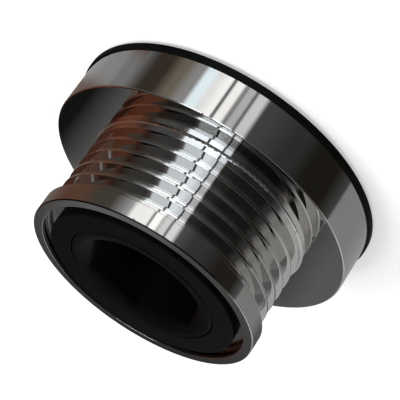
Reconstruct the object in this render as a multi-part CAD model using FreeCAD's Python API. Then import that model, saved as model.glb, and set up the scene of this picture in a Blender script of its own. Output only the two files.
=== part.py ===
import FreeCAD
import Part

import math
import os

from FreeCAD import Vector

# Overrunning alternator pulley with a spring decoupler, in millimetres.
# The pulley's axis is Z. Z = 0 is the hub's rear seat face and the front end is up.
# Two corners of the hexagon socket lie on the X axis.

# Clearances
running_gap = 0.05
press_gap = 0.02
passing_gap = 0.3

# Shaft bore and hub, from the axis outwards
thread_diameter = 16.0
thread_pitch = 1.5
thread_depth_factor = 0.5413
pilot_step = 0.5
pilot_depth = 9.5
journal_wall = 4.5
rear_edge_chamfer = 0.6
hub_edge_chamfer = 0.4
hub_rear_proud = 0.8
hub_front_proud = 0.4
hub_shoulder_gap = 0.45
socket_wall = 2.91
socket_floor_thickness = 1.2
socket_relief = 1.5
countersink_margin = 1.15
countersink_depth = 1.7

# Roller clutch
ramp_ring_wall = 2.81
ramp_crest_height = 0.5
ramp_angle = 4.0
clutch_roller_count = 10
clutch_roller_diameter = 3.34
clutch_spring_room = 3.05
clutch_spring_strip = 0.4
clutch_spring_folds = 2
clutch_cage_rim = 0.95
clutch_washer_thickness = 1.2
sleeve_wall = 2.5
retaining_ring_thickness = 1.1
retaining_ring_width = 2.5
retaining_groove_depth = 0.7
retaining_ring_opening = 8.0

# Front needle bearing
needle_count = 24
needle_diameter = 2.53
needle_cup_length = 7.8
needle_cup_wall = 0.9
needle_cup_lip_gap = 0.6
needle_cage_wall = 1.4
needle_cage_rim = 0.6

# Belt track
groove_count = 5
groove_pitch = 3.56
groove_angle = 40.0
groove_bottom_radius = 0.5
rib_flat = 0.7
rib_tip_radius = 0.15
barrel_wall = 2.53
front_strip_width = 1.4
shoulder_width = 1.85
shoulder_fillet = 0.45

# Front land and mouth
land_height = 1.4
land_width = 4.55
land_edge_radius = 0.2
lip_wall = 2.4
mouth_depth = 2.6
snap_groove_depth = 0.5
snap_groove_width = 0.9

# Front seal
seal_ledge = 2.4
seal_seat_length = 2.2
front_seal_proud = 0.3
front_seal_bore_gap = 0.25
front_seal_edge_radius = 0.25
front_seal_plate = 1.9
front_seal_leg = 1.5
sealing_lip_width = 0.7

# Spring pack, from the clutch sleeve outwards
flange_ring_wall = 4.3
flange_thickness = 3.2
wing_setback_angle = 1.0
wing_tip_gap = 0.9
friction_ring_thickness = 2.6
friction_ring_step = 0.2
diaphragm_overhang = 0.8
diaphragm_sheet = 0.6
diaphragm_slot_count = 8
diaphragm_slot_width = 1.6
spring_bore_gap = 1.6
spring_side_gap = 0.7
arc_spring_diameter = 7.2
arc_spring_wire = 1.9
arc_spring_coils = 13
slide_shell_wall = 0.9
stop_half_angle = 9.0
stop_step = 0.2

# Spring drum
drum_wall = 2.55
drum_edge_radius = 0.3
web_thickness = 2.5

# Rear cover
cover_rim_overhang = 0.45
cover_rim_thickness = 1.85
cover_rim_radius = 0.35
cover_plate_thickness = 2.2
spigot_wall = 1.6
spigot_height = 1.8
o_ring_section = 1.0
collar_wall = 2.9
collar_height = 5.0
collar_end_gap = 0.9
bush_wall = 1.05
rear_seal_width = 2.45
rear_seal_length = 2.7
rear_seal_lip_height = 0.3
stop_pocket_depth = 1.1
stop_pocket_margin = 1.0

# Radii from the axis outwards
thread_minor_radius = thread_diameter / 2 - thread_depth_factor * thread_pitch
pilot_radius = thread_diameter / 2 + pilot_step
journal_radius = pilot_radius + journal_wall
ramp_crest_radius = journal_radius + ramp_ring_wall + ramp_crest_height
roller_radius = clutch_roller_diameter / 2
roller_path_radius = journal_radius + ramp_ring_wall + running_gap / 2 + roller_radius
sleeve_bore_radius = roller_path_radius + roller_radius + running_gap / 2
sleeve_radius = sleeve_bore_radius + sleeve_wall
bearing_bore_radius = sleeve_radius + passing_gap
cup_radius = bearing_bore_radius - press_gap
cup_inner_radius = cup_radius - needle_cup_wall
needle_path_radius = cup_inner_radius - (running_gap + needle_diameter) / 2
head_radius = cup_inner_radius - running_gap - needle_diameter
socket_corner_radius = head_radius - socket_wall

# Groove form, from its pitch, its angle and the flat that is left on a rib
half_groove_angle = math.radians(groove_angle / 2)
groove_half_width = (groove_pitch - rib_flat) / 2
groove_apex_depth = groove_half_width / math.tan(half_groove_angle)
groove_depth = groove_apex_depth - groove_bottom_radius * (1 / math.sin(half_groove_angle) - 1)

# Radii of the barrel and its mouth
rib_radius = bearing_bore_radius + barrel_wall + groove_depth
land_radius = rib_radius + land_height
mouth_radius = land_radius - lip_wall
seal_seat_radius = mouth_radius - seal_ledge

# Radii of the spring pack, the drum and its cover
flange_ring_radius = sleeve_radius + flange_ring_wall
pack_inner_radius = sleeve_radius + 2 * passing_gap
arc_radius = flange_ring_radius + spring_bore_gap + arc_spring_diameter / 2
stop_inner_radius = arc_radius - arc_spring_diameter / 2 + stop_step
shell_inner_radius = arc_radius + arc_spring_diameter / 2 + passing_gap / 2
shell_radius = shell_inner_radius + slide_shell_wall
drum_inner_radius = shell_radius + running_gap
drum_radius = drum_inner_radius + drum_wall
cover_outer_radius = drum_radius + cover_rim_overhang
spigot_radius = drum_inner_radius - press_gap
spigot_inner_radius = spigot_radius - spigot_wall
bush_bore_radius = journal_radius + running_gap
bush_radius = bush_bore_radius + bush_wall
collar_radius = bush_radius + press_gap + collar_wall
rear_seal_seat_radius = bush_bore_radius + rear_seal_width

# Heights from the hub's rear face to the drum's web
cover_back_z = hub_rear_proud
drum_back_z = cover_back_z + cover_rim_thickness
cover_plate_z = cover_back_z + cover_plate_thickness
rear_seal_top_z = cover_back_z + rear_seal_length
spigot_top_z = cover_plate_z + spigot_height
collar_top_z = cover_plate_z + collar_height
arc_spring_z = cover_plate_z + spring_side_gap + arc_spring_diameter / 2
web_back_z = arc_spring_z + arc_spring_diameter / 2 + spring_side_gap
web_front_z = web_back_z + web_thickness
friction_ring_z = web_back_z - friction_ring_thickness
flange_front_z = friction_ring_z - running_gap
flange_back_z = flange_front_z - flange_thickness

# Heights of the barrel and the front end
track_length = (groove_count - 1) * groove_pitch + 2 * groove_half_width
land_back_z = web_front_z + shoulder_width + track_length + front_strip_width
front_z = land_back_z + land_width
mouth_floor_z = front_z - mouth_depth
seal_seat_z = mouth_floor_z - seal_seat_length
hub_length = front_z + hub_front_proud

# Heights of the needle bearing and the clutch
cup_front_z = seal_seat_z - passing_gap / 2
cup_back_z = cup_front_z - needle_cup_length
cage_front_z = cup_front_z - needle_cup_wall - running_gap
cage_back_z = cup_back_z + needle_cup_wall + running_gap
hub_shoulder_z = cup_back_z - hub_shoulder_gap
socket_floor_z = hub_shoulder_z + socket_floor_thickness
thread_end_z = socket_floor_z - socket_relief
washer_front_z = hub_shoulder_z - clutch_washer_thickness
retaining_ring_z = collar_top_z + collar_end_gap
washer_rear_z = retaining_ring_z + retaining_ring_thickness
ramp_ring_z = washer_rear_z + clutch_washer_thickness

axis_point = Vector(0, 0, 0)
axis_direction = Vector(0, 0, 1)


def section_wire(corners):
    """Closed outline in the XZ plane. Each corner is (radius, height) or (radius, height, rounding)."""
    starts = []
    ends = []
    middles = []
    count = len(corners)
    for i, corner in enumerate(corners):
        here = Vector(corner[0], 0, corner[1])
        before = corners[i - 1]
        after = corners[(i + 1) % count]
        back = (Vector(before[0], 0, before[1]) - here).normalize()
        ahead = (Vector(after[0], 0, after[1]) - here).normalize()
        rounding = corner[2] if len(corner) > 2 else 0
        if rounding <= 0:
            starts.append(here)
            ends.append(here)
            middles.append(None)
            continue
        half = back.getAngle(ahead) / 2
        reach = rounding / math.tan(half)
        bisector = (back + ahead).normalize()
        centre = here + bisector * (rounding / math.sin(half))
        starts.append(here + back * reach)
        ends.append(here + ahead * reach)
        middles.append(centre - bisector * rounding)
    edges = []
    for i in range(count):
        if middles[i] is not None:
            edges.append(Part.Arc(starts[i], middles[i], ends[i]).toShape())
        following = (i + 1) % count
        if ends[i].distanceToPoint(starts[following]) > 1e-6:
            edges.append(Part.LineSegment(ends[i], starts[following]).toShape())
    return Part.Wire(edges)


def turned(corners):
    """Solid of revolution about Z with the given section."""
    face = Part.Face(section_wire(corners))
    return face.revolve(axis_point, axis_direction, 360)


def ring(inner_radius, outer_radius, z_low, z_high):
    """Plain ring about Z."""
    return turned([
        (inner_radius, z_low),
        (outer_radius, z_low),
        (outer_radius, z_high),
        (inner_radius, z_high),
    ])


def sector(inner_radius, outer_radius, z_low, z_high, start_angle, end_angle):
    """Part of a ring about Z between two angles in degrees."""
    face = Part.Face(section_wire([
        (inner_radius, z_low),
        (outer_radius, z_low),
        (outer_radius, z_high),
        (inner_radius, z_high),
    ]))
    face.rotate(axis_point, axis_direction, start_angle)
    return face.revolve(axis_point, axis_direction, end_angle - start_angle)


def turned_copies(shape, count, start_angle=0):
    """Equally spaced copies of a shape about Z."""
    copies = []
    for i in range(count):
        copy = shape.copy()
        copy.rotate(axis_point, axis_direction, start_angle + i * 360 / count)
        copies.append(copy)
    return copies


def box_at(x_low, x_high, y_low, y_high, z_low, z_high):
    """Box between two corners."""
    corner = Vector(x_low, y_low, z_low)
    return Part.makeBox(x_high - x_low, y_high - y_low, z_high - z_low, corner)


def polygon_prism(corner_radius, sides, z_low, z_high, start_angle=0):
    """Prism with a regular outline about Z."""
    points = []
    for i in range(sides + 1):
        angle = math.radians(start_angle + i * 360 / sides)
        points.append(Vector(corner_radius * math.cos(angle), corner_radius * math.sin(angle), z_low))
    face = Part.Face(Part.makePolygon(points))
    return face.extrude(Vector(0, 0, z_high - z_low))


def spring_stops(inner_radius, outer_radius, z_low, z_high):
    """The two blocks that the arc springs push against."""
    stop = sector(inner_radius, outer_radius, z_low, z_high, -stop_half_angle, stop_half_angle)
    return turned_copies(stop, 2)


def belt_track_corners():
    """Outline of the belt track from the rear shoulder to the front land."""
    corners = [(rib_radius, web_front_z, shoulder_fillet)]
    first_centre = web_front_z + shoulder_width + groove_half_width
    for i in range(groove_count):
        centre = first_centre + i * groove_pitch
        corners.append((rib_radius, centre - groove_half_width, rib_tip_radius))
        corners.append((rib_radius - groove_apex_depth, centre, groove_bottom_radius))
        corners.append((rib_radius, centre + groove_half_width, rib_tip_radius))
    corners.append((rib_radius, land_back_z))
    return corners


def snap_groove_corners():
    """Outline of the small groove that a dust cap would snap into."""
    middle_z = front_z - mouth_depth / 2
    floor_radius = mouth_radius + snap_groove_depth
    return [
        (mouth_radius, middle_z + snap_groove_width / 2),
        (floor_radius, middle_z + snap_groove_width / 4),
        (floor_radius, middle_z - snap_groove_width / 4),
        (mouth_radius, middle_z - snap_groove_width / 2),
    ]


def pulley_body():
    """Grooved barrel and spring drum, turned from one forging."""
    corners = [
        (drum_inner_radius, drum_back_z),
        (drum_radius, drum_back_z),
        (drum_radius, web_front_z, drum_edge_radius),
    ]
    corners += belt_track_corners()
    corners += [
        (land_radius, land_back_z, land_edge_radius),
        (land_radius, front_z, land_edge_radius),
        (mouth_radius, front_z, land_edge_radius / 2),
    ]
    corners += snap_groove_corners()
    corners += [
        (mouth_radius, mouth_floor_z),
        (seal_seat_radius, mouth_floor_z),
        (seal_seat_radius, seal_seat_z),
        (bearing_bore_radius, seal_seat_z),
        (bearing_bore_radius, web_back_z),
        (drum_inner_radius, web_back_z),
    ]
    body = turned(corners)
    stop_low_z = flange_front_z + passing_gap
    stop_radius = drum_inner_radius + drum_wall / 2
    for stop in spring_stops(stop_inner_radius, stop_radius, stop_low_z, web_back_z):
        body = body.fuse(stop)
    return body.removeSplitter()


def rear_cover():
    """Pressed steel cover with its spigot, bearing collar and two spring stops."""
    corners = [
        (rear_seal_seat_radius, cover_back_z),
        (cover_outer_radius, cover_back_z, cover_rim_radius),
        (cover_outer_radius, drum_back_z, cover_rim_radius),
        (spigot_radius, drum_back_z),
        (spigot_radius, spigot_top_z),
        (spigot_inner_radius, spigot_top_z),
        (spigot_inner_radius, cover_plate_z),
        (collar_radius, cover_plate_z, shoulder_fillet),
        (collar_radius, collar_top_z),
        (bush_radius + press_gap, collar_top_z),
        (bush_radius + press_gap, rear_seal_top_z),
        (rear_seal_seat_radius, rear_seal_top_z),
    ]
    cover = turned(corners)
    stop_top_z = flange_back_z - passing_gap
    stop_radius = spigot_inner_radius + spigot_wall / 2
    for stop in spring_stops(stop_inner_radius, stop_radius, cover_plate_z, stop_top_z):
        cover = cover.fuse(stop)
    margin_angle = math.degrees(stop_pocket_margin / arc_radius)
    pocket = sector(
        stop_inner_radius + stop_pocket_margin,
        spigot_inner_radius - stop_pocket_margin,
        cover_back_z,
        cover_back_z + stop_pocket_depth,
        margin_angle - stop_half_angle,
        stop_half_angle - margin_angle,
    )
    for copy in turned_copies(pocket, 2):
        cover = cover.cut(copy)
    groove_middle_z = cover_plate_z + spigot_height / 2
    groove = ring(
        spigot_radius - o_ring_section - press_gap,
        spigot_radius + press_gap,
        groove_middle_z - o_ring_section / 2 - press_gap,
        groove_middle_z + o_ring_section / 2 + press_gap,
    )
    return cover.cut(groove).removeSplitter()


def cover_o_ring():
    """Rubber ring in the spigot's groove."""
    section_radius = o_ring_section / 2
    centre_radius = drum_inner_radius - press_gap - section_radius
    centre = Vector(0, 0, cover_plate_z + spigot_height / 2)
    return Part.makeTorus(centre_radius, section_radius, centre, axis_direction)


def rear_seal():
    """Lip seal between the cover and the hub."""
    outer_radius = rear_seal_seat_radius - press_gap
    lip_radius = journal_radius + running_gap
    inner_radius = lip_radius + rear_seal_lip_height
    lip_z = cover_back_z + rear_seal_length / 2
    return turned([
        (outer_radius, cover_back_z + passing_gap / 2),
        (outer_radius, rear_seal_top_z),
        (inner_radius, rear_seal_top_z),
        (inner_radius, lip_z + sealing_lip_width / 2),
        (lip_radius, lip_z),
        (inner_radius, lip_z - sealing_lip_width / 2),
        (inner_radius, cover_back_z + passing_gap / 2),
    ])


def rear_bush():
    """Plain bearing bush in the cover's collar."""
    return ring(bush_bore_radius, bush_radius, rear_seal_top_z, collar_top_z)


def arc_spring(start_angle):
    """Bow spring: a round wire coiled along an arc of the drum."""
    wire_radius = arc_spring_wire / 2
    coil_radius = arc_spring_diameter / 2 - wire_radius
    end_margin = stop_half_angle + math.degrees((wire_radius + passing_gap / 2) / arc_radius)
    span = 180 - 2 * end_margin
    steps_per_coil = 12
    steps = arc_spring_coils * steps_per_coil
    points = []
    for i in range(steps + 1):
        along = math.radians(start_angle + end_margin + span * i / steps)
        turn = 2 * math.pi * i / steps_per_coil
        radius = arc_radius + coil_radius * math.cos(turn)
        height = arc_spring_z + coil_radius * math.sin(turn)
        points.append(Vector(radius * math.cos(along), radius * math.sin(along), height))
    line = Part.BSplineCurve()
    line.interpolate(points)
    path = Part.Wire(line.toShape())
    tangent = line.tangent(line.FirstParameter)[0]
    circle = Part.Circle(points[0], tangent, wire_radius)
    profile = Part.Wire(circle.toShape())
    return path.makePipeShell([profile], True, True)


def slide_shell(start_angle):
    """Curved liner that an arc spring slides along."""
    return sector(
        shell_inner_radius,
        shell_radius,
        spigot_top_z + press_gap,
        web_back_z - running_gap,
        start_angle + stop_half_angle,
        start_angle + 180 - stop_half_angle,
    )


def friction_ring():
    """Damping ring between the pulley's web and the drive flange."""
    outer_radius = flange_ring_radius - friction_ring_step
    return ring(pack_inner_radius, outer_radius, friction_ring_z, web_back_z)


def diaphragm_spring():
    """Slotted cone spring that presses the flange against the friction ring."""
    outer_radius = flange_ring_radius + diaphragm_overhang
    inner_radius = pack_inner_radius
    top_z = flange_back_z - running_gap
    disc = turned([
        (outer_radius, cover_plate_z),
        (outer_radius, cover_plate_z + diaphragm_sheet),
        (inner_radius, top_z),
        (inner_radius, top_z - diaphragm_sheet),
    ])
    slot_end = (inner_radius + outer_radius) / 2
    half_width = diaphragm_slot_width / 2
    slot = box_at(0, slot_end, -half_width, half_width, cover_plate_z, top_z)
    slot = slot.fuse(Part.makeCylinder(half_width, top_z - cover_plate_z, Vector(slot_end, 0, cover_plate_z)))
    for copy in turned_copies(slot, diaphragm_slot_count):
        disc = disc.cut(copy)
    return disc


def needle_cup():
    """Drawn cup with inward lips that holds the needles."""
    lip_radius = head_radius + needle_cup_lip_gap
    return turned([
        (cup_radius, cup_back_z, needle_cup_wall / 2),
        (cup_radius, cup_front_z, needle_cup_wall / 2),
        (lip_radius, cup_front_z),
        (lip_radius, cup_front_z - needle_cup_wall),
        (cup_inner_radius, cup_front_z - needle_cup_wall),
        (cup_inner_radius, cup_back_z + needle_cup_wall),
        (lip_radius, cup_back_z + needle_cup_wall),
        (lip_radius, cup_back_z),
    ])


def needle_rollers():
    """All needles, as separate solids."""
    low = cage_back_z + needle_cage_rim + running_gap
    high = cage_front_z - needle_cage_rim - running_gap
    needle = Part.makeCylinder(needle_diameter / 2, high - low, Vector(needle_path_radius, 0, low))
    return Part.makeCompound(turned_copies(needle, needle_count))


def needle_cage():
    """Cage that spaces the needles."""
    half_wall = needle_cage_wall / 2
    cage = ring(needle_path_radius - half_wall, needle_path_radius + half_wall, cage_back_z, cage_front_z)
    half_width = needle_diameter / 2 + running_gap
    pocket = box_at(
        needle_path_radius - needle_cage_wall,
        needle_path_radius + needle_cage_wall,
        -half_width,
        half_width,
        cage_back_z + needle_cage_rim,
        cage_front_z - needle_cage_rim,
    )
    for copy in turned_copies(pocket, needle_count):
        cage = cage.cut(copy)
    return cage


def front_seal():
    """Black shaft seal that closes the front end and stands a little proud of the rim."""
    outer_radius = seal_seat_radius - press_gap
    inner_radius = head_radius + front_seal_bore_gap
    top_z = front_z + front_seal_proud
    plate_z = top_z - front_seal_plate
    lip_z = plate_z - sealing_lip_width
    return turned([
        (outer_radius, seal_seat_z),
        (outer_radius, top_z, front_seal_edge_radius),
        (inner_radius, top_z, front_seal_edge_radius),
        (inner_radius, plate_z),
        (head_radius + running_gap, lip_z),
        (inner_radius, lip_z - sealing_lip_width),
        (inner_radius + sealing_lip_width, lip_z),
        (inner_radius + sealing_lip_width * 2, plate_z),
        (outer_radius - front_seal_leg, plate_z),
        (outer_radius - front_seal_leg, seal_seat_z),
    ])


def drive_flange():
    """Flange whose two wings press on the ends of the arc springs."""
    inner_radius = sleeve_radius + press_gap
    wing_radius = shell_inner_radius - wing_tip_gap
    wing_half_angle = stop_half_angle - wing_setback_angle
    flange = ring(inner_radius, flange_ring_radius, flange_back_z, flange_front_z)
    wing = sector(
        inner_radius + sleeve_wall / 2,
        wing_radius,
        flange_back_z,
        flange_front_z,
        -wing_half_angle,
        wing_half_angle,
    )
    for copy in turned_copies(wing, 2):
        flange = flange.fuse(copy)
    return flange.removeSplitter()


def clutch_sleeve():
    """Outer race of the roller clutch, pressed into the flange."""
    return ring(sleeve_bore_radius, sleeve_radius, flange_back_z, hub_shoulder_z - passing_gap)


def hub():
    """Inner hub: journal, head, shaft bore and hexagon socket."""
    groove_radius = journal_radius - retaining_groove_depth
    relief_radius = thread_minor_radius + socket_relief
    corners = [
        (pilot_radius + rear_edge_chamfer, 0),
        (journal_radius - rear_edge_chamfer, 0),
        (journal_radius, rear_edge_chamfer),
        (journal_radius, retaining_ring_z),
        (groove_radius, retaining_ring_z),
        (groove_radius, washer_rear_z),
        (journal_radius, washer_rear_z),
        (journal_radius, hub_shoulder_z),
        (head_radius, hub_shoulder_z),
        (head_radius, hub_length - hub_edge_chamfer),
        (head_radius - hub_edge_chamfer, hub_length),
        (relief_radius, hub_length),
        (relief_radius, socket_floor_z),
        (thread_minor_radius, thread_end_z),
        (thread_minor_radius, pilot_depth),
        (pilot_radius, pilot_depth),
        (pilot_radius, rear_edge_chamfer),
    ]
    socket = polygon_prism(socket_corner_radius, 6, socket_floor_z, hub_length)
    countersink = Part.makeCone(
        socket_corner_radius * math.cos(math.pi / 6),
        socket_corner_radius + countersink_margin,
        countersink_depth,
        Vector(0, 0, hub_length - countersink_depth),
    )
    return turned(corners).cut(socket).cut(countersink)


def ramp_ring():
    """Inner race of the clutch, with one sloping flat for each roller."""
    slope = math.radians(ramp_angle)
    flat_distance = roller_path_radius * math.cos(slope) - roller_radius - running_gap / 2
    corner_radius = flat_distance / math.cos(math.pi / clutch_roller_count)
    start_angle = ramp_angle + 180 / clutch_roller_count
    prism = polygon_prism(corner_radius, clutch_roller_count, ramp_ring_z, washer_front_z, start_angle)
    blank = ring(journal_radius + press_gap, ramp_crest_radius, ramp_ring_z, washer_front_z)
    return blank.common(prism)


def clutch_rollers():
    """The clutch's rollers, as separate solids."""
    low = ramp_ring_z + clutch_cage_rim + running_gap * 2
    high = washer_front_z - clutch_cage_rim - running_gap * 2
    roller = Part.makeCylinder(roller_radius, high - low, Vector(roller_path_radius, 0, low))
    return Part.makeCompound(turned_copies(roller, clutch_roller_count))


def clutch_pocket_edges():
    """Sideways limits of a cage pocket, on the roller's side and the spring's side."""
    reach = roller_radius + running_gap
    return -reach, reach + clutch_spring_room


def clutch_cage():
    """Moulded cage with a pocket for each roller and its spring."""
    inner_radius = ramp_crest_radius + passing_gap / 2
    outer_radius = sleeve_bore_radius - passing_gap
    cage = ring(inner_radius, outer_radius, ramp_ring_z + running_gap, washer_front_z - running_gap)
    near, far = clutch_pocket_edges()
    pocket = box_at(
        journal_radius,
        sleeve_radius,
        near,
        far,
        ramp_ring_z + clutch_cage_rim,
        washer_front_z - clutch_cage_rim,
    )
    for copy in turned_copies(pocket, clutch_roller_count):
        cage = cage.cut(copy)
    return cage


def clutch_springs():
    """Folded strip springs that push the rollers up their ramps."""
    far = clutch_pocket_edges()[1]
    low_y = roller_radius + running_gap * 2
    high_y = far - running_gap
    outer_x = math.sqrt((sleeve_bore_radius - passing_gap) ** 2 - high_y ** 2)
    inner_x = ramp_crest_radius + passing_gap
    legs = 2 * clutch_spring_folds
    step = (high_y - low_y) / legs
    near_line = []
    far_line = []
    for i in range(legs + 1):
        x = inner_x if i % 2 == 0 else outer_x - clutch_spring_strip
        y = low_y + i * step
        near_line.append(Vector(x, y, 0))
        far_line.append(Vector(x + clutch_spring_strip, y, 0))
    outline = near_line + far_line[::-1] + near_line[:1]
    length = (washer_front_z - ramp_ring_z) / 2
    face = Part.Face(Part.makePolygon(outline))
    spring = face.extrude(Vector(0, 0, length))
    spring.translate(Vector(0, 0, ramp_ring_z + length / 2))
    return Part.makeCompound(turned_copies(spring, clutch_roller_count))


def clutch_washer(z_low):
    """Thrust washer at one end of the clutch."""
    return ring(
        journal_radius + press_gap,
        sleeve_bore_radius - passing_gap,
        z_low,
        z_low + clutch_washer_thickness,
    )


def retaining_ring():
    """Open spring ring that keeps the clutch on the journal."""
    inner_radius = journal_radius - retaining_groove_depth + press_gap
    outer_radius = inner_radius + retaining_ring_width
    shape = ring(inner_radius, outer_radius, retaining_ring_z + press_gap, washer_rear_z)
    half_opening = retaining_ring_opening / 2
    opening = box_at(0, outer_radius + 1, -half_opening, half_opening, retaining_ring_z, washer_rear_z)
    return shape.cut(opening)


def parts():
    """Every node of the pulley by name."""
    return {
        "pulley_body": pulley_body(),
        "rear_cover": rear_cover(),
        "cover_o_ring": cover_o_ring(),
        "rear_seal": rear_seal(),
        "rear_bush": rear_bush(),
        "arc_spring_a": arc_spring(0),
        "arc_spring_b": arc_spring(180),
        "slide_shell_a": slide_shell(0),
        "slide_shell_b": slide_shell(180),
        "friction_ring": friction_ring(),
        "diaphragm_spring": diaphragm_spring(),
        "needle_cup": needle_cup(),
        "front_seal": front_seal(),
        "drive_flange": drive_flange(),
        "clutch_sleeve": clutch_sleeve(),
        "hub": hub(),
        "ramp_ring": ramp_ring(),
        "clutch_rollers": clutch_rollers(),
        "clutch_cage": clutch_cage(),
        "clutch_springs": clutch_springs(),
        "clutch_washer_front": clutch_washer(washer_front_z),
        "clutch_washer_rear": clutch_washer(washer_rear_z),
        "retaining_ring": retaining_ring(),
        "needle_rollers": needle_rollers(),
        "needle_cage": needle_cage(),
    }


def main():
    os.makedirs("parts", exist_ok=True)
    for name, shape in parts().items():
        box = shape.BoundBox
        print(name, len(shape.Solids), "solids", shape.isValid(), round(shape.Volume, 1), "mm3,",
              "z", round(box.ZMin, 2), "to", round(box.ZMax, 2), "r", round(box.XMax, 2))
        shape.exportStep(os.path.join("parts", name + ".step"))


main()
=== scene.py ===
import math

import bmesh
import bpy
from mathutils import Matrix, Vector


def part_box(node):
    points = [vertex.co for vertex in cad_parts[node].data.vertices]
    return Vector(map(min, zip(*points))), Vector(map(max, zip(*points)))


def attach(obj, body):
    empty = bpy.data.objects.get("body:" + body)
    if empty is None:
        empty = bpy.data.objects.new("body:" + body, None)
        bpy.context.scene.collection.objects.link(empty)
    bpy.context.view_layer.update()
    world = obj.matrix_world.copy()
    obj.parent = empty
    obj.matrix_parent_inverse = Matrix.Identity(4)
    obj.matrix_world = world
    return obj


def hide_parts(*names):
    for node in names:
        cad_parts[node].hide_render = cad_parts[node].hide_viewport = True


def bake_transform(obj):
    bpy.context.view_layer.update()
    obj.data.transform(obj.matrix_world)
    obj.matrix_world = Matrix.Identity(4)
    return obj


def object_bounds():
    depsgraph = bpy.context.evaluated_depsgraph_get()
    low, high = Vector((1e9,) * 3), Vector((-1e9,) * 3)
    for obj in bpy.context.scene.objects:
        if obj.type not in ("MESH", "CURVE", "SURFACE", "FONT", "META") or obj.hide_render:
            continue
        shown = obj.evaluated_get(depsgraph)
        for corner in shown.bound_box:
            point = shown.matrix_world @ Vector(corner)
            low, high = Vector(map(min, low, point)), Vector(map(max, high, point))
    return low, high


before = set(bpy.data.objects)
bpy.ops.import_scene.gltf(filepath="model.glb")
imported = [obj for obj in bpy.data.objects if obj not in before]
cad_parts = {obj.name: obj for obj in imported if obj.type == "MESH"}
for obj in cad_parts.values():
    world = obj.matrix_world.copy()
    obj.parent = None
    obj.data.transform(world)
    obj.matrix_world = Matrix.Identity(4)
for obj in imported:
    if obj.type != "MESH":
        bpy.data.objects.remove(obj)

bl_info = {
    "name": "Overrunning pulley finishes",
    "version": (1, 0, 0),
    "blender": (4, 5, 0),
    "location": "View3D > Sidebar > Pulley",
    "description": "Dresses the pulley in turned steel, black coatings, rubber and bearing parts",
    "category": "Object",
}

MM = 0.001
CAD_BOUNDS = [list(corner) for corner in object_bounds()]
FRONT_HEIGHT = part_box("pulley_body")[1][2]
FRONT = FRONT_HEIGHT / MM

# Places on the turned body: radii and heights in millimetres
LAND_RADIUS = 28.9
TRACK_RADIUS = 28.2
TRACK_FOOT = 14.4
TRACK_TOP = FRONT - 4.8
WEB_RADII = (27.0, 37.9)
MOUTH_RADIUS = 26.2
SNAP_RADIUS = 26.56
SNAP_BOTTOM = 27.6
MOUTH_FOOT = FRONT - 2.5
MOUTH_EDGE = FRONT - 0.12
LEDGE_RADII = (24.0, 26.7)
LEDGE_HEIGHTS = (FRONT - 3.0, FRONT - 2.45)
CORNER_WIDTH = 0.27

# Direction from the axis on whose side the front corner gets a painted dark line, which is
# painted shade
CORNER_SIDE = (0.81, -0.59)

# Flaws in the turned body: place and size in millimetres, and how dark
FLAWS = (
    ((19.1, -21.5, 38.62), 0.2, 1.0),
    ((23.73, -30.26, 14.0), 0.22, 1.0),
    ((-7.53, -26.45, 21.25), 0.16, 0.8),
    ((-13.29, -24.08, 14.3), 0.2, 0.9),
)

# Places on the other pieces, in millimetres
COVER_EDGE = 37.8
SOCKET_RADIUS = 16.9
BORE_RADIUS = 8.9
BORE_TOP = 26.6

# How the thread is cut: steps in a turn, flank angle, and parts of the pitch
THREAD_STEPS = 48
THREAD_FLANK = math.radians(30)
THREAD_DEPTH = 0.65
THREAD_CREST = 1 / 16
WELD_DISTANCE = 0.002 * MM
SHARP_ANGLE = math.radians(24)

# Floor's distance under the hub, camera's sensor in millimetres, and what matt surfaces see
FLOOR_GAP = 0.02 * MM
SENSOR_WIDTH = 36.0
MATT_LIGHT = 0.62


class Signal:
    """A number that flows through a node tree and takes part in plain arithmetic."""

    def __init__(self, sheet, socket):
        self.sheet = sheet
        self.socket = socket

    def math(self, operation, *others):
        node = self.sheet.add("ShaderNodeMath", {"operation": operation}, [self, *others])
        return Signal(self.sheet, node.outputs[0])

    def reflected(self, operation, other):
        node = self.sheet.add("ShaderNodeMath", {"operation": operation}, [other, self])
        return Signal(self.sheet, node.outputs[0])

    def __add__(self, other):
        return self.math("ADD", other)

    def __radd__(self, other):
        return self.reflected("ADD", other)

    def __sub__(self, other):
        return self.math("SUBTRACT", other)

    def __rsub__(self, other):
        return self.reflected("SUBTRACT", other)

    def __mul__(self, other):
        return self.math("MULTIPLY", other)

    def __rmul__(self, other):
        return self.reflected("MULTIPLY", other)

    def __truediv__(self, other):
        return self.math("DIVIDE", other)

    def __rtruediv__(self, other):
        return self.reflected("DIVIDE", other)

    def __pow__(self, other):
        return self.math("POWER", other)

    def __abs__(self):
        return self.math("ABSOLUTE")

    def least(self, other):
        return self.math("MINIMUM", other)

    def most(self, other):
        return self.math("MAXIMUM", other)

    def clamped(self):
        return self.most(0.0).least(1.0)

    def rising(self, middle, softness):
        """0 below the middle and 1 above it, with a soft step between."""
        return ((self - middle) / softness + 0.5).clamped()

    def between(self, low, high, softness):
        """1 between two values and 0 outside them."""
        return self.rising(low, softness) * (1 - self.rising(high, softness))


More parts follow.
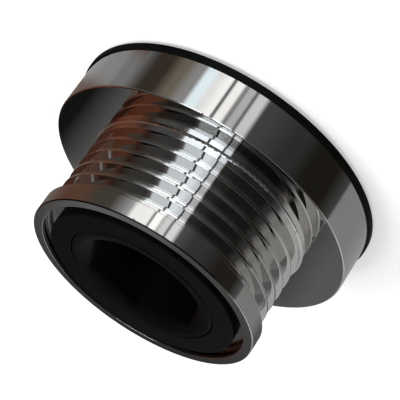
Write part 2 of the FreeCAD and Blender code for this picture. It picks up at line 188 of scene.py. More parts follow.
class Sheet:
    """The node tree of one material or world."""

    def __init__(self, tree):
        self.tree = tree
        self.place = None
        tree.nodes.clear()

    def add(self, kind, settings=None, inputs=None):
        """One node. Its settings are set first, then the values or links of its sockets."""
        node = self.tree.nodes.new(kind)
        for name, value in (settings or {}).items():
            setattr(node, name, value)
        pairs = inputs.items() if isinstance(inputs, dict) else enumerate(inputs or [])
        for key, value in pairs:
            self.feed(node.inputs[key], value)
        return node

    def feed(self, socket, value):
        """Link a socket to a signal or another socket, or set its value."""
        if isinstance(value, Signal):
            value = value.socket
        if isinstance(value, bpy.types.NodeSocket):
            self.tree.links.new(value, socket)
        else:
            socket.default_value = value

    def coordinates(self):
        """Place on the pulley in millimetres: x, y, height and radius from the axis."""
        if self.place is None:
            place = self.add("ShaderNodeTexCoord").outputs["Object"]
            axes = self.add("ShaderNodeSeparateXYZ", None, [place])
            x, y, z = (Signal(self, axis) / MM for axis in axes.outputs)
            self.place = (x, y, z, (x * x + y * y) ** 0.5)
        return self.place

    def noise(self, x, y, z, w=0.0, detail=2.0, roughness=0.5):
        """Noise over three or four numbers, with about one spot to each step of 1 in them."""
        vector = self.add("ShaderNodeCombineXYZ", None, [x, y, z])
        node = self.add("ShaderNodeTexNoise", {"noise_dimensions": "4D"}, {
            "Vector": vector.outputs[0],
            "W": w,
            "Scale": 1.0,
            "Detail": detail,
            "Roughness": roughness,
        })
        return Signal(self, node.outputs["Fac"])

    def spots(self, spots_per_mm, detail=2.0, roughness=0.5):
        """Noise that is alike in every direction."""
        x, y, z = (axis * spots_per_mm for axis in self.coordinates()[:3])
        return self.noise(x, y, z, detail=detail, roughness=roughness)

    def mix(self, factor, first, second):
        """Blend of two colours."""
        node = self.add("ShaderNodeMix", {"data_type": "RGBA"}, {0: factor, 6: first, 7: second})
        return node.outputs[2]

    def bump(self, height, strength, distance_mm):
        """Normal from a height that runs from 0 to 1."""
        values = {"Height": height, "Strength": strength, "Distance": distance_mm * MM}
        return self.add("ShaderNodeBump", None, values).outputs["Normal"]


def colour(red, green, blue):
    """Colour with full opacity."""
    return (red, green, blue, 1.0)


def about(middle, *swings):
    """A middle value that noises swing up and down. Each swing is its noise and its reach."""
    value = middle
    for noise, reach in swings:
        value = value + (noise - 0.5) * reach
    return value


def new_finish(name):
    """A material with its node sheet."""
    material = bpy.data.materials.new(name)
    material.use_nodes = True
    return material, Sheet(material.node_tree)


def close_finish(sheet, values):
    """End a material's sheet with a Principled shader."""
    shader = sheet.add("ShaderNodeBsdfPrincipled", None, values)
    sheet.add("ShaderNodeOutputMaterial", None, {"Surface": shader.outputs[0]})


def turning_lines(sheet, spacing_mm, wander=0.02):
    """Fine lines that a lathe leaves round the axis, on walls and faces alike."""
    x, y, z, radius = sheet.coordinates()
    step = 1 / spacing_mm
    return sheet.noise(x * wander, y * wander, z * step, radius * step, 3.0, 0.6)


def flaw(sheet, place, size):
    """1 inside a small round flaw, such as a nick or a pit."""
    x, y, z = sheet.coordinates()[:3]
    aside, along, above = x - place[0], y - place[1], z - place[2]
    distance = (aside * aside + along * along + above * above) ** 0.5
    return 1 - distance.rising(size, size / 2)


def shade_and_flaw_places(sheet):
    """Dark places on the turned body: painted shade at the front corner, mouth and snap groove,
    and the body's own flaws.
    """
    x, y, z, radius = sheet.coordinates()
    side = (x * CORNER_SIDE[0] + y * CORNER_SIDE[1]) / radius
    # Painted shade: a dark line along the front corner, on one side only
    corner = (z + radius).rising(FRONT + LAND_RADIUS - CORNER_WIDTH, 0.06)
    mouth = z.between(MOUTH_FOOT, MOUTH_EDGE, 0.08)
    shade_and_flaws = corner * side.rising(0.5, 0.2)
    # Painted shade down the mouth's wall and, darker still, in the snap groove
    shade_and_flaws = shade_and_flaws.most(radius.between(MOUTH_RADIUS, SNAP_RADIUS, 0.1) * mouth * 0.75)
    shade_and_flaws = shade_and_flaws.most(radius.between(SNAP_RADIUS, SNAP_BOTTOM, 0.1) * mouth * 0.96)
    for place, size, darkness in FLAWS:
        shade_and_flaws = shade_and_flaws.most(flaw(sheet, place, size) * darkness)
    return shade_and_flaws


def turned_roughness(sheet, base, smooth):
    """Roughness of the turned body: smooth track and web, duller front face and mouth."""
    z, radius = sheet.coordinates()[2:]
    front_face = z.rising(FRONT - 0.06, 0.05)
    mouth = z.between(MOUTH_FOOT, MOUTH_EDGE, 0.08)
    mouth_wall = radius.between(MOUTH_RADIUS, SNAP_RADIUS, 0.1) * mouth
    ledge = radius.between(*LEDGE_RADII, 0.1) * z.between(*LEDGE_HEIGHTS, 0.1)
    roughness = (base + front_face * 0.05) * (1 - smooth * 0.7)
    return (roughness + ledge * 0.1 + mouth_wall * 0.35).clamped()


def turned_steel():
    """Bright turned steel of the belt track and drum."""
    sizes = bpy.context.scene.pulley_steel
    material, sheet = new_finish("turned_steel")
    z, radius = sheet.coordinates()[2:]
    fine = turning_lines(sheet, sizes.line_spacing / MM)
    coarse = turning_lines(sheet, sizes.line_spacing / MM * 5, 0.01)
    cloud = sheet.spots(0.12, 3.0)
    web_z = sizes.web_height / MM
    web_face = z.between(web_z - 0.3, web_z + 0.35, 0.1) * radius.between(*WEB_RADII, 0.3)
    track = (1 - radius.rising(TRACK_RADIUS, 0.2)) * z.between(TRACK_FOOT, TRACK_TOP, 0.3)
    smooth = track.most(web_face)
    tint = sheet.mix((cloud * 1.4 - 0.2).clamped(), sizes.colour_light, sizes.colour_dark)
    lines = (fine * 0.6 + coarse * 0.4) * (1 - smooth * 0.75)
    walls = about(sizes.wall_roughness, (fine, 0.04), (cloud, 0.03))
    close_finish(sheet, {
        # Base colour darkened by painted shade at the corner, mouth and snap groove, and by the
        # flaws
        "Base Color": sheet.mix(shade_and_flaw_places(sheet), tint, sizes.colour_shade_and_flaws),
        "Metallic": 1.0,
        "Roughness": turned_roughness(sheet, walls, smooth),
        "Normal": sheet.bump(lines, 0.12, 0.001),
    })
    return material


def coated_steel():
    """Black coating of the rear cover, faintly uneven, with more gloss on its back."""
    looks = bpy.context.scene.pulley_blacks
    material, sheet = new_finish("black_coating")
    radius = sheet.coordinates()[3]
    grain = sheet.spots(6)
    cloud = sheet.spots(0.2, 3.0)
    back = 1 - radius.rising(COVER_EDGE, 1.0)
    skin = sheet.mix(cloud, looks.coating, looks.coating_worn)
    close_finish(sheet, {
        "Base Color": sheet.mix(back, skin, looks.coating_back),
        "Roughness": about(0.42, (grain, 0.2), (cloud, 0.15)).clamped(),
        "Specular IOR Level": 0.05,
        "Coat Weight": back * 0.35,
        "Coat Roughness": 0.32,
        "Normal": sheet.bump(grain, 0.25, 0.02),
    })
    return material


def moulded_seal():
    """Black moulded face of the shaft seal."""
    looks = bpy.context.scene.pulley_blacks
    material, sheet = new_finish("moulded_seal")
    grain = sheet.spots(9)
    cloud = sheet.spots(0.3, 3.0)
    close_finish(sheet, {
        "Base Color": sheet.mix(cloud, looks.seal, looks.seal_dusty),
        "Roughness": about(0.5, (grain, 0.2), (cloud, 0.15)).clamped(),
        "Specular IOR Level": 0.04,
        "Normal": sheet.bump(grain, 0.3, 0.015),
    })
    return material


def blackened_steel():
    """Black oxide on the hub, with bare ground steel in its bore and thread, and painted shade
    that darkens its socket with depth.
    """
    looks = bpy.context.scene.pulley_blacks
    material, sheet = new_finish("blackened_steel")
    z, radius = sheet.coordinates()[2:]
    lines = turning_lines(sheet, 0.12)
    cloud = sheet.spots(0.25, 3.0)
    # Painted shade: the socket gets darker with depth
    inside = 1 - z.rising(FRONT - 0.9, 1.6) * 0.7
    inside = inside * (1 - radius.rising(SOCKET_RADIUS, 0.2))
    bore = (1 - z.rising(BORE_TOP, 0.4)) * (1 - radius.rising(BORE_RADIUS, 0.2))
    seat = 1 - z.rising(0.1, 0.1)
    bare = bore.most(seat)
    # Oxide with the painted shade laid into its socket
    skin = sheet.mix(inside, sheet.mix(cloud, looks.oxide, looks.oxide_worn), looks.socket)
    rough = about(0.45, (lines, 0.12), (cloud, 0.15))
    close_finish(sheet, {
        "Base Color": sheet.mix(bare, skin, looks.bore),
        "Metallic": bare,
        "Roughness": (rough - bare * 0.22).clamped(),
        "Specular IOR Level": 0.04,
        "Normal": sheet.bump(lines, 0.25, 0.005),
    })
    return material


def ground_steel():
    """Ground and hardened steel of races, rollers and needles."""
    looks = bpy.context.scene.pulley_inner
    material, sheet = new_finish("ground_steel")
    lines = turning_lines(sheet, 0.06)
    cloud = sheet.spots(0.3)
    close_finish(sheet, {
        "Base Color": sheet.mix(cloud, looks.bearing_steel, looks.bearing_steel_oiled),
        "Metallic": 1.0,
        "Roughness": about(0.16, (lines, 0.08)).clamped(),
        "Normal": sheet.bump(lines, 0.2, 0.003),
    })
    return material


def spring_steel():
    """Oil tempered spring wire and strip."""
    looks = bpy.context.scene.pulley_inner
    material, sheet = new_finish("spring_steel")
    scale = sheet.spots(1.5, 4.0)
    close_finish(sheet, {
        "Base Color": sheet.mix(scale, looks.spring_dark, looks.spring_light),
        "Metallic": 1.0,
        "Roughness": about(0.3, (scale, 0.25)).clamped(),
        "Normal": sheet.bump(scale, 0.2, 0.01),
    })
    return material


def soft_rubber():
    """Matt black rubber of the rear lip seal and the cover's ring."""
    looks = bpy.context.scene.pulley_blacks
    material, sheet = new_finish("soft_rubber")
    grain = sheet.spots(7, 3.0)
    close_finish(sheet, {
        "Base Color": sheet.mix(grain, looks.rubber, looks.seal_dusty),
        "Roughness": about(0.68, (grain, 0.2)).clamped(),
        "Specular IOR Level": 0.3,
        "Normal": sheet.bump(grain, 0.3, 0.02),
    })
    return material


def bearing_nylon():
    """Moulded glass-filled nylon of cages, liners and the friction ring."""
    looks = bpy.context.scene.pulley_inner
    material, sheet = new_finish("bearing_nylon")
    x, y, z = sheet.coordinates()[:3]
    fibre = sheet.noise(x * 3, y * 3, z * 12, detail=4.0)
    close_finish(sheet, {
        "Base Color": sheet.mix(fibre, looks.nylon_dark, looks.nylon_light),
        "Roughness": about(0.5, (fibre, 0.25)).clamped(),
        "Normal": sheet.bump(fibre, 0.25, 0.015),
    })
    return material


def bush_bronze():
    """Sintered bronze of the rear bush."""
    looks = bpy.context.scene.pulley_inner
    material, sheet = new_finish("bush_bronze")
    pores = sheet.spots(12, 3.0, 0.7)
    close_finish(sheet, {
        "Base Color": sheet.mix(pores, looks.bronze_dark, looks.bronze_light),
        "Metallic": 1.0,
        "Roughness": about(0.34, (pores, 0.3)).clamped(),
        "Normal": sheet.bump(pores, 0.3, 0.01),
    })
    return material


def give(material, slot, *nodes):
    """Put a material on CAD nodes, which keep their places."""
    for name in nodes:
        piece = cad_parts[name]
        piece.data.materials.clear()
        piece.data.materials.append(material)


def distance_property(name, description, default_mm):
    """A length that the user can change."""
    return bpy.props.FloatProperty(
        name=name, description=description, default=default_mm * MM, unit="LENGTH", precision=5)


def colour_property(name, description, red, green, blue):
    """A colour that the user can change."""
    return bpy.props.FloatVectorProperty(
        name=name, description=description, default=colour(red, green, blue), size=4,
        subtype="COLOR", min=0.0, max=1.0)


class PulleySteel(bpy.types.PropertyGroup):
    """Sizes and colours of the turned steel body."""

    line_spacing: distance_property("Line spacing", "Distance between turning lines", 0.09)
    web_height: distance_property("Web height", "Height of the drum's front face", 14.1)
    wall_roughness: bpy.props.FloatProperty(
        name="Wall roughness", description="Roughness of the turned walls", default=0.06)
    colour_light: colour_property("Light steel", "Clean turned steel", 0.66, 0.655, 0.645)
    colour_dark: colour_property("Dull steel", "Handled turned steel", 0.58, 0.57, 0.555)
    # Colour of the painted shade at the front corner, mouth and snap groove, and of the flaws
    colour_shade_and_flaws: colour_property("Shade_and_nicks", "Dark line and nicks at the edges", 0.02, 0.019, 0.018)


class PulleyBlacks(bpy.types.PropertyGroup):
    """Colours of the black pieces."""

    coating: colour_property("Coating", "Black coating of the cover", 0.0022, 0.0022, 0.0025)
    coating_back: colour_property(
        "Back of the cover", "Black coating on the cover's back", 0.017, 0.017, 0.018)
    coating_worn: colour_property(
        "Worn coating", "Black coating where handled", 0.005, 0.005, 0.005)
    seal: colour_property("Seal", "Black of the shaft seal", 0.0032, 0.0032, 0.0034)
    seal_dusty: colour_property(
        "Dusty seal", "Shaft seal with a trace of dust", 0.006, 0.006, 0.0059)
    oxide: colour_property("Black oxide", "Black oxide on the hub", 0.0025, 0.0025, 0.0028)
    oxide_worn: colour_property("Worn oxide", "Black oxide where rubbed", 0.006, 0.0059, 0.0057)
    # Colour of the painted shade deep in the hub's socket
    socket: colour_property("Socket", "Shaded black inside the hub", 0.0008, 0.0008, 0.0009)
    bore: colour_property("Bore", "Bare steel of the hub's bore and seat", 0.4, 0.395, 0.385)
    rubber: colour_property("Rubber", "Soft sealing rubber", 0.006, 0.006, 0.006)


class PulleyThread(bpy.types.PropertyGroup):
    """Shaft thread in the hub."""

    diameter: distance_property("Thread diameter", "Outer diameter of the shaft thread", 16.0)
    pitch: distance_property("Pitch", "Rise of the thread in one turn", 1.5)
    start: distance_property("Start", "Height at which the cutter starts, in the plain bore", 8.2)
    end: distance_property("End", "Height at which the cutter leaves the thread's relief", 27.4)


class PulleyInner(bpy.types.PropertyGroup):
    """Colours of the bearing, clutch and spring pieces."""

    bearing_steel: colour_property("Bearing steel", "Ground bearing steel", 0.62, 0.63, 0.645)
    bearing_steel_oiled: colour_property(
        "Oiled steel", "Bearing steel under grease", 0.5, 0.48, 0.44)
    spring_dark: colour_property("Dark spring", "Tempered spring wire", 0.12, 0.12, 0.135)
    spring_light: colour_property("Light spring", "Rubbed spring wire", 0.3, 0.3, 0.31)
    nylon_dark: colour_property("Dark nylon", "Nylon in the recesses", 0.19, 0.13, 0.07)
    nylon_light: colour_property("Light nylon", "Natural nylon", 0.33, 0.25, 0.15)
    bronze_dark: colour_property("Dark bronze", "Pores of the bronze", 0.32, 0.17, 0.07)
    bronze_light: colour_property("Light bronze", "Bearing face of the bronze", 0.62, 0.38, 0.18)


class PulleyStage(bpy.types.PropertyGroup):
    """Camera, light and floor."""

    focal_length: bpy.props.FloatProperty(
        name="Focal length", description="Camera lens in millimetres", default=143.2)
    distance: distance_property(
        "Camera distance", "From the front face's centre to the camera", 359.4)
    azimuth: bpy.props.FloatProperty(
        name="Camera azimuth", description="Direction of the camera about the axis",
        default=math.radians(-66.53), subtype="ANGLE")
    elevation: bpy.props.FloatProperty(
        name="Camera elevation", description="Height of the camera over the front face",
        default=math.radians(21.98), subtype="ANGLE")
    look_azimuth: bpy.props.FloatProperty(
        name="Look azimuth", description="Direction in which the camera looks",
        default=math.radians(113.5), subtype="ANGLE")
    look_elevation: bpy.props.FloatProperty(
        name="Look elevation", description="Slope at which the camera looks down",
        default=math.radians(-25.705), subtype="ANGLE")
    roll: bpy.props.FloatProperty(
        name="Camera roll", description="Turn of the camera about its own line of sight",
        default=math.radians(-145.7), subtype="ANGLE")
    floor_size: distance_property("Floor size", "Side of the square floor", 8000.0)
    floor_colour: colour_property("Floor", "Colour of the pale floor", 0.7, 0.7, 0.7)
    floor_glow: bpy.props.FloatProperty(
        name="Floor glow", description="What brings the floor up to white for the camera",
        default=0.42)


class PieceOperator:
    """What every operator of this file shares."""

    bl_options = {"REGISTER", "UNDO"}


class PULLEY_OT_body(PieceOperator, bpy.types.Operator):
    """Give the belt track and drum their turned steel"""

    bl_idname = "pulley.body"
    bl_label = "Turned body"

    def execute(self, context):
        give(turned_steel(), "machined_steel", "pulley_body")
        return {"FINISHED"}


class PULLEY_OT_cover(PieceOperator, bpy.types.Operator):
    """Coat the rear cover black"""

    bl_idname = "pulley.cover"
    bl_label = "Rear cover"

    def execute(self, context):
        give(coated_steel(), "black_coated_steel", "rear_cover")
        return {"FINISHED"}


class PULLEY_OT_seals(PieceOperator, bpy.types.Operator):
    """Give the seals their black rubber"""

    bl_idname = "pulley.seals"
    bl_label = "Seals"

    def execute(self, context):
        give(moulded_seal(), "black_seal", "front_seal")
        give(soft_rubber(), "sealing_rubber", "rear_seal", "cover_o_ring")
        return {"FINISHED"}


def thread_cutter():
    """Helical bar with a thread's section, which runs out of the hub's bore at both ends."""
    sizes = bpy.context.scene.pulley_thread
    outer = sizes.diameter / 2
    inner = outer - sizes.pitch * THREAD_DEPTH
    narrow = sizes.pitch * THREAD_CREST
    wide = narrow + (outer - inner) * math.tan(THREAD_FLANK)
    section = ((inner, -wide), (outer, -narrow), (outer, narrow), (inner, wide))
    steps = int((sizes.end - sizes.start) / sizes.pitch * THREAD_STEPS)
    form = bmesh.new()
    before = None
    for step in range(steps + 1):
        angle = math.tau * step / THREAD_STEPS
        height = sizes.start + sizes.pitch * step / THREAD_STEPS
        ring = [
            form.verts.new((radius * math.cos(angle), radius * math.sin(angle), height + rise))
            for radius, rise in section
        ]
        if before is None:
            form.faces.new(ring)
        else:
            for corner in range(4):
                form.faces.new((
                    before[corner], before[corner - 1], ring[corner - 1], ring[corner]))
        before = ring
    form.faces.new(reversed(before))
    bmesh.ops.recalc_face_normals(form, faces=form.faces)
    mesh = bpy.data.meshes.new("thread_cutter")
    form.to_mesh(mesh)
    form.free()
    cutter = bpy.data.objects.new("thread_cutter", mesh)
    bpy.context.scene.collection.objects.link(cutter)
    return cutter


def threaded_hub():
    """The hub with its shaft thread cut, in place of the plain one."""
    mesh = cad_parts["hub"].data.copy()
    form = bmesh.new()
    form.from_mesh(mesh)
    bmesh.ops.remove_doubles(form, verts=form.verts, dist=WELD_DISTANCE)
    form.to_mesh(mesh)
    form.free()
    blank = bpy.data.objects.new("hub_blank", mesh)
    bpy.context.scene.collection.objects.link(blank)
    cutter = thread_cutter()
    cut = blank.modifiers.new("thread", "BOOLEAN")
    cut.operation = "DIFFERENCE"
    cut.solver = "EXACT"
    cut.object = cutter
    shaped = blank.evaluated_get(bpy.context.evaluated_depsgraph_get())
    threaded = bpy.data.meshes.new_from_object(shaped)
    threaded.name = "threaded_hub"
    hub = bpy.data.objects.new("threaded_hub", threaded)
    bpy.context.scene.collection.objects.link(hub)
    for spare in (blank, cutter):
        bpy.data.objects.remove(spare)
    threaded.shade_smooth()
    threaded.set_sharp_from_angle(angle=SHARP_ANGLE)
    return hub


class PULLEY_OT_hub(PieceOperator, bpy.types.Operator):
    """Blacken the hub and cut its thread"""

    bl_idname = "pulley.hub"
    bl_label = "Hub"

    def execute(self, context):
        hub = threaded_hub()
        hub.data.materials.clear()
        hub.data.materials.append(blackened_steel())
        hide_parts("hub")
        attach(hub, "hub")
        return {"FINISHED"}


def yielding_spring(node, material):
    """A copy of an arc spring with the material, in place of its CAD node."""
    spring = bpy.data.objects.new(node + "_coil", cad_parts[node].data.copy())
    bpy.context.scene.collection.objects.link(spring)
    spring.data.materials.clear()
    spring.data.materials.append(material)
    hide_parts(node)
    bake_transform(spring)


class PULLEY_OT_springs(PieceOperator, bpy.types.Operator):
    """Finish the springs and the retaining ring"""

    bl_idname = "pulley.springs"
    bl_label = "Springs"

    def execute(self, context):
        steel = spring_steel()
        give(steel, "spring_steel", "diaphragm_spring", "clutch_springs", "retaining_ring")
        yielding_spring("arc_spring_a", steel)
        yielding_spring("arc_spring_b", steel)
        return {"FINISHED"}


class PULLEY_OT_bearings(PieceOperator, bpy.types.Operator):
    """Finish the needle bearing, the clutch and the bush"""

    bl_idname = "pulley.bearings"
    bl_label = "Bearings and clutch"

    def execute(self, context):
        give(ground_steel(), "bearing_steel",
             "needle_cup", "needle_rollers", "clutch_rollers", "clutch_sleeve", "ramp_ring",
             "clutch_washer_front", "clutch_washer_rear", "drive_flange")
        give(bearing_nylon(), "bearing_nylon",
             "needle_cage", "clutch_cage", "slide_shell_a", "slide_shell_b", "friction_ring")
        give(bush_bronze(), "bush_bronze", "rear_bush")
        return {"FINISHED"}


def light_path(sheet, kind):
    """1 for rays of one kind, such as camera rays."""
    return Signal(sheet, sheet.add("ShaderNodeLightPath").outputs[kind])


def grey(level):
    """Neutral shade."""
    return colour(level, level, level)


def walk_round(sheet, turn, tone, steps):
    """Shades met while turning round the pulley. Each step is its turn, softness and shade."""
    for middle, softness, shade in steps:
        tone = sheet.mix(turn.rising(middle, softness), tone, shade)
    return tone


def drum_storey(sheet, turn):
    """Low part of the studio, which the drum's wall mirrors."""
    return walk_round(sheet, turn, grey(0.36), [
        (-140.0, 40.0, grey(0.3)),
        (-87.2, 2.5, grey(0.08)),
        (-80.0, 16.0, colour(0.017, 0.015, 0.011)),
        (-44.0, 12.0, grey(0.04)),
        (-20.0, 20.0, grey(0.075)),
        (-1.1, 3.0, grey(0.88)),
        (6.6, 1.4, grey(0.14)),
        (8.8, 1.4, grey(0.66)),
        (14.2, 1.2, grey(0.3)),
        (17.4, 1.6, grey(1.4)),
        (23.8, 1.0, grey(0.12)),
        (26.2, 1.0, grey(1.45)),
        (32.0, 6.0, grey(1.15)),
        (38.5, 4.0, colour(1.16, 1.34, 1.42)),
        (46.4, 3.0, grey(0.36)),
        (56.0, 7.0, colour(0.21, 0.18, 0.14)),
        (68.0, 9.0, colour(0.05, 0.041, 0.03)),
        (88.0, 8.0, grey(0.14)),
        (95.0, 8.0, grey(0.255)),
        (111.0, 5.0, grey(0.33)),
        (145.0, 30.0, grey(0.38)),
        (168.0, 12.0, grey(0.78)),
    ])


def land_storey(sheet, turn):
    """Level part of the studio, which the front land and the ribs mirror."""
    return walk_round(sheet, turn, grey(0.11), [
        (-134.0, 26.0, grey(0.28)),
        (-82.0, 2.5, grey(0.1)),
        (-75.0, 10.0, colour(0.022, 0.019, 0.016)),
        (-38.0, 20.0, grey(0.05)),
        (-12.0, 12.0, grey(0.1)),
        (-1.2, 4.0, grey(1.05)),
        (6.5, 1.4, grey(0.15)),
        (8.7, 1.4, grey(1.0)),
        (14.2, 1.2, grey(0.75)),
        (17.4, 1.6, grey(1.6)),
        (23.9, 1.0, grey(0.3)),
        (26.2, 1.0, grey(1.4)),
        (44.5, 4.0, grey(0.5)),
        (50.0, 6.0, grey(0.3)),
        (59.0, 12.0, colour(0.075, 0.07, 0.055)),
        (91.0, 16.0, colour(0.14, 0.07, 0.048)),
        (135.0, 26.0, colour(0.175, 0.135, 0.11)),
    ])


def groove_storey(sheet, turn):
    """High part of the studio, which the groove flanks mirror."""
    return walk_round(sheet, turn, grey(0.5), [
        (-134.0, 10.0, grey(0.74)),
        (-92.0, 8.0, grey(0.6)),
        (-76.0, 10.0, grey(0.11)),
        (-64.0, 8.0, grey(0.034)),
        (-15.0, 16.0, grey(0.08)),
        (-1.1, 2.2, colour(1.6, 1.7, 1.85)),
        (5.8, 1.2, grey(0.1)),
        (8.0, 1.2, colour(2.2, 2.35, 2.55)),
        (14.0, 6.0, colour(2.7, 3.0, 3.3)),
        (22.4, 1.0, grey(0.1)),
        (25.0, 1.0, colour(2.1, 2.3, 2.5)),
        (46.0, 3.0, grey(0.3)),
        (50.0, 4.0, grey(0.13)),
        (84.0, 14.0, colour(0.09, 0.05, 0.036)),
        (99.0, 16.0, colour(0.27, 0.1, 0.058)),
        (130.0, 12.0, colour(0.21, 0.06, 0.028)),
        (143.0, 12.0, colour(0.08, 0.03, 0.02)),
    ])


def three_storeys(sheet, turn, slope):
    """The studio's shades from the floor up to a little over the horizon."""
    to_left = turn.rising(92.0, 10.0)
    drum_band = slope.between(to_left * 2.0 - 30.8, -25.6 - to_left * 1.3, 0.6)
    tone = sheet.mix(drum_band, land_storey(sheet, turn), drum_storey(sheet, turn))
    dark_floor = (1 - slope.rising(-32.0, 2.0)) * turn.rising(60.0, 8.0)
    tone = sheet.mix(dark_floor, tone, colour(0.05, 0.03, 0.022))
    tone = sheet.mix(slope.rising(-15.0, 8.0), tone, groove_storey(sheet, turn))
    left_wall = slope.between(-12.0, 12.0, 4.0) * turn.rising(80.0, 8.0)
    tone = sheet.mix(left_wall, tone, colour(0.17, 0.145, 0.125))
    dark_right = slope.between(-19.0, -2.0, 2.0) * turn.between(-124.0, -84.0, 8.0)
    return sheet.mix(dark_right, tone, grey(0.04))


def wall_behind(sheet, turn, slope):
    """The part of the studio behind the pulley, which its front face and the web mirror."""
    lower = sheet.mix(turn.rising(0.0, 1.0), grey(0.11), grey(0.21))
    tone = sheet.mix(slope.rising(21.9, 3.4), grey(0.018), lower)
    tone = sheet.mix(slope.rising(24.15, 0.4), tone, grey(0.14))
    tone = sheet.mix(turn.between(150.0, 174.8, 1.6), tone, grey(0.01))
    upper_right = turn.between(-181.0, -174.9, 1.4) * slope.rising(24.2, 0.5)
    return sheet.mix(upper_right, tone, grey(0.075))


def studio_world():
    """White for the camera, plain light on matt things, and bright and dark bands for metal."""
    stage = bpy.context.scene.pulley_stage
    world = bpy.data.worlds.new("studio")
    bpy.context.scene.world = world
    world.use_nodes = True
    sheet = Sheet(world.node_tree)
    direction = sheet.add("ShaderNodeTexCoord").outputs["Generated"]
    axes = sheet.add("ShaderNodeSeparateXYZ", None, [direction])
    x, y, z = (Signal(sheet, axis) for axis in axes.outputs)
    ahead = x * math.cos(stage.azimuth) + y * math.sin(stage.azimuth)
    across = y * math.cos(stage.azimuth) - x * math.sin(stage.azimuth)
    turn = across.math("ARCTAN2", ahead) * math.degrees(1)
    slope = z.math("ARCSINE") * math.degrees(1)
    tone = three_storeys(sheet, turn, slope)
    behind = slope.rising(5.0, 10.0) * abs(turn).rising(172.0, 2.0)
    tone = sheet.mix(behind, tone, wall_behind(sheet, turn, slope))
    tone = sheet.mix(slope.rising(42.0, 6.0), tone, grey(0.012))
    tone = sheet.mix(slope.rising(57.0, 6.0), tone, grey(0.2))
    plain = sheet.mix(light_path(sheet, "Is Diffuse Ray"), tone, grey(MATT_LIGHT))
    shown = sheet.mix(light_path(sheet, "Is Camera Ray"), plain, grey(1.0))
    background = sheet.add("ShaderNodeBackground", None, {"Color": shown, "Strength": 1.0})
    sheet.add("ShaderNodeOutputWorld", None, {"Surface": background.outputs[0]})


def floor_finish():
    """Pale floor that keeps the shadow and stays out of the metal's reflections."""
    stage = bpy.context.scene.pulley_stage
    material, sheet = new_finish("pale_floor")
    matt = sheet.add("ShaderNodeBsdfDiffuse", None, {"Color": stage.floor_colour})
    glow = sheet.add("ShaderNodeEmission", None, {
        "Color": sheet.mix(light_path(sheet, "Is Camera Ray"), grey(0.0), grey(1.0)),
        "Strength": stage.floor_glow,
    })
    both = sheet.add("ShaderNodeAddShader", None, [matt.outputs[0], glow.outputs[0]])
    clear = sheet.add("ShaderNodeBsdfTransparent")
    gate = light_path(sheet, "Is Glossy Ray")
    surface = sheet.add("ShaderNodeMixShader", None, [gate, both.outputs[0], clear.outputs[0]])
    sheet.add("ShaderNodeOutputMaterial", None, {"Surface": surface.outputs[0]})
    return material


def lay_floor():
    """Square floor under the hub."""
    stage = bpy.context.scene.pulley_stage
    mesh = bpy.data.meshes.new("floor")
    form = bmesh.new()
    bmesh.ops.create_grid(form, x_segments=1, y_segments=1, size=stage.floor_size / 2)
    form.to_mesh(mesh)
    form.free()
    floor = bpy.data.objects.new("floor", mesh)
    floor.location.z = CAD_BOUNDS[0][2] - FLOOR_GAP
    floor.data.materials.append(floor_finish())
    bpy.context.scene.collection.objects.link(floor)


def direction_of(azimuth, elevation):
    """Unit vector from two angles."""
    return Vector((
        math.cos(elevation) * math.cos(azimuth),
        math.cos(elevation) * math.sin(azimuth),
        math.sin(elevation),
    ))


def place_camera():
    """Camera at the photograph's viewing angle."""
    stage = bpy.context.scene.pulley_stage
    lens = bpy.data.cameras.new("camera")
    lens.lens = stage.focal_length
    lens.sensor_width = SENSOR_WIDTH
    lens.clip_start = 0.01
    lens.clip_end = 50.0
    camera = bpy.data.objects.new("camera", lens)
    bpy.context.scene.collection.objects.link(camera)
    front = Vector((0.0, 0.0, FRONT_HEIGHT))
    camera.location = front + direction_of(stage.azimuth, stage.elevation) * stage.distance
    look = direction_of(stage.look_azimuth, stage.look_elevation)
    turn = look.to_track_quat("-Z", "Y").to_matrix() @ Matrix.Rotation(stage.roll, 3, "Z")
    camera.rotation_euler = turn.to_euler()
    bpy.context.scene.camera = camera


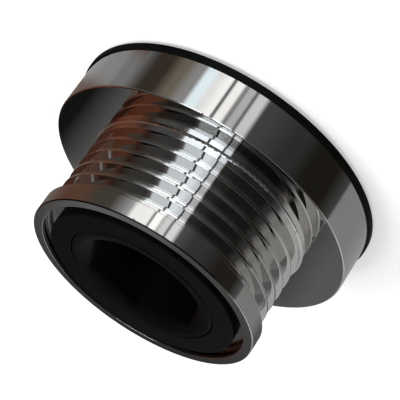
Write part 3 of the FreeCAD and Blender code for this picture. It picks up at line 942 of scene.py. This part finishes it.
def hang_lamp(name, azimuth, elevation, distance, side, power):
    """Soft lamp that lights matt surfaces and stays out of the metal's reflections."""
    data = bpy.data.lights.new(name, "AREA")
    data.shape = "SQUARE"
    data.size = side
    data.energy = power
    lamp = bpy.data.objects.new(name, data)
    bpy.context.scene.collection.objects.link(lamp)
    towards = direction_of(azimuth, elevation)
    lamp.location = towards * distance
    lamp.rotation_euler = (-towards).to_track_quat("-Z", "Y").to_euler()
    lamp.visible_glossy = False


class PULLEY_OT_stage(PieceOperator, bpy.types.Operator):
    """Set up the floor, the light and the camera"""

    bl_idname = "pulley.stage"
    bl_label = "Stage"

    def execute(self, context):
        context.scene.view_settings.view_transform = "Standard"
        studio_world()
        lay_floor()
        place_camera()
        hang_lamp("key", azimuth=math.radians(20), elevation=math.radians(60),
                  distance=1.2, side=0.8, power=9.0)
        return {"FINISHED"}


class PULLEY_PT_panel(bpy.types.Panel):
    """Lists the pulley's finishes"""

    bl_idname = "PULLEY_PT_panel"
    bl_label = "Pulley"
    bl_space_type = "VIEW_3D"
    bl_region_type = "UI"
    bl_category = "Pulley"

    def draw(self, context):
        for operator in OPERATORS:
            self.layout.operator(operator.bl_idname)
        for group in GROUPS:
            holder = getattr(context.scene, group)
            for name in holder.__annotations__:
                self.layout.prop(holder, name)


GROUPS = {
    "pulley_steel": PulleySteel,
    "pulley_blacks": PulleyBlacks,
    "pulley_thread": PulleyThread,
    "pulley_inner": PulleyInner,
    "pulley_stage": PulleyStage,
}
OPERATORS = (
    PULLEY_OT_body,
    PULLEY_OT_cover,
    PULLEY_OT_seals,
    PULLEY_OT_hub,
    PULLEY_OT_springs,
    PULLEY_OT_bearings,
    PULLEY_OT_stage,
)
CLASSES = (*GROUPS.values(), *OPERATORS, PULLEY_PT_panel)


def register():
    for item in CLASSES:
        bpy.utils.register_class(item)
    for name, group in GROUPS.items():
        setattr(bpy.types.Scene, name, bpy.props.PointerProperty(type=group))


def unregister():
    for name in GROUPS:
        delattr(bpy.types.Scene, name)
    for item in reversed(CLASSES):
        bpy.utils.unregister_class(item)


def main():
    register()
    bpy.ops.pulley.body()
    bpy.ops.pulley.cover()
    bpy.ops.pulley.seals()
    bpy.ops.pulley.hub()
    bpy.ops.pulley.springs()
    bpy.ops.pulley.bearings()
    bpy.ops.pulley.stage()


if __name__ == "__main__":
    main()
